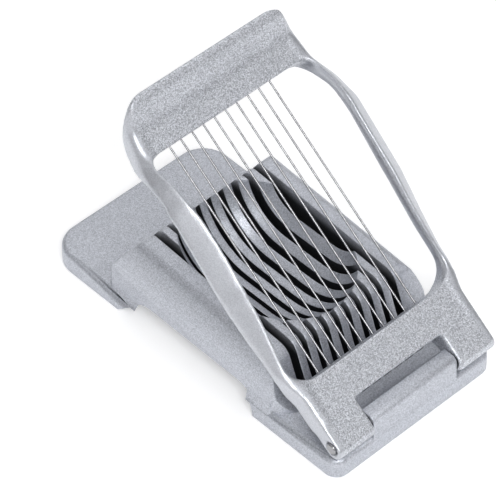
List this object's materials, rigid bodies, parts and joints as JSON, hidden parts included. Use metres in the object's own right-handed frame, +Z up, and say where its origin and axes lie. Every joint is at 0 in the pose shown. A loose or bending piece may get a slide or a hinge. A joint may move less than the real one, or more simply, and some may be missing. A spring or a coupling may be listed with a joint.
{
  "type": "egg slicer",
  "caption": "Cast metal egg slicer: a slotted, egg-shaped cradle on a low base, with a hinged frame of taut parallel wires that swings down through the slots.",
  "frame": {"origin": "on the floor, on the underside of the hinge block, directly below the middle of the hinge axis", "axes": "+Z up from the floor; +Y from the hinge towards the handle end of the base; +X along the hinge pin"},
  "size_m": [0.0838, 0.1422, 0.0994],
  "materials": {
    "cast_metal": "satin, finely grained metallic lacquer",
    "pin_steel": "turned and polished",
    "wire_steel": "bright drawn"
  },
  "bodies": {
    "base": {"base_casting": "cast_metal", "hinge_pin": "pin_steel"},
    "frame": {"cutting_frame": "cast_metal", "cutting_wire_01": "wire_steel", "cutting_wire_02": "wire_steel", "cutting_wire_03": "wire_steel", "cutting_wire_04": "wire_steel", "cutting_wire_05": "wire_steel", "cutting_wire_06": "wire_steel", "cutting_wire_07": "wire_steel", "cutting_wire_08": "wire_steel", "cutting_wire_09": "wire_steel", "cutting_wire_10": "wire_steel"}
  },
  "joints": [
    {"name": "frame_hinge", "type": "hinge", "parent": "base", "child": "frame", "pos_m": [0, 0, 0.0137], "axis": [1, 0, 0], "range_deg": [-37.2, 62.8]}
  ]
}
